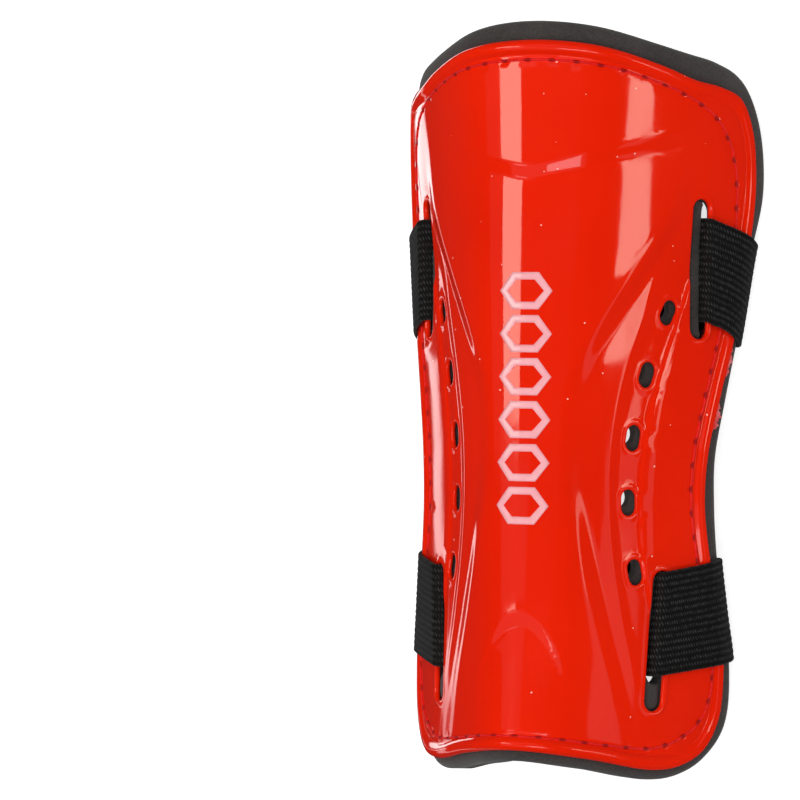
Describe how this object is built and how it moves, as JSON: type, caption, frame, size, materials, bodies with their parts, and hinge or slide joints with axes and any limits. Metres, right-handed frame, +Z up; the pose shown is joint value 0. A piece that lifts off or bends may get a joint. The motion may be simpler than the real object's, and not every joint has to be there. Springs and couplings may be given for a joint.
{
  "type": "soccer shin guard",
  "caption": "Moulded gloss plastic shin guard with a raised hourglass panel, rolled edge, vents and strap slots, backed by a foam pad and held by elastic straps.",
  "frame": {"origin": "middle of the bounding box on the surface that the guard lies on, under the straps", "axes": "+X across the leg, +Y along the leg to the knee end, +Z up, away from the leg"},
  "size_m": [0.1082, 0.2126, 0.0643],
  "materials": {
    "shell": "gloss red moulded plastic",
    "foam": "matte dark grey closed-cell foam",
    "strap": "black knitted elastic"
  },
  "bodies": {
    "root": {"shell": "shell", "foam_pad": "foam", "strap_upper": "strap", "strap_lower": "strap"}
  },
  "joints": []
}
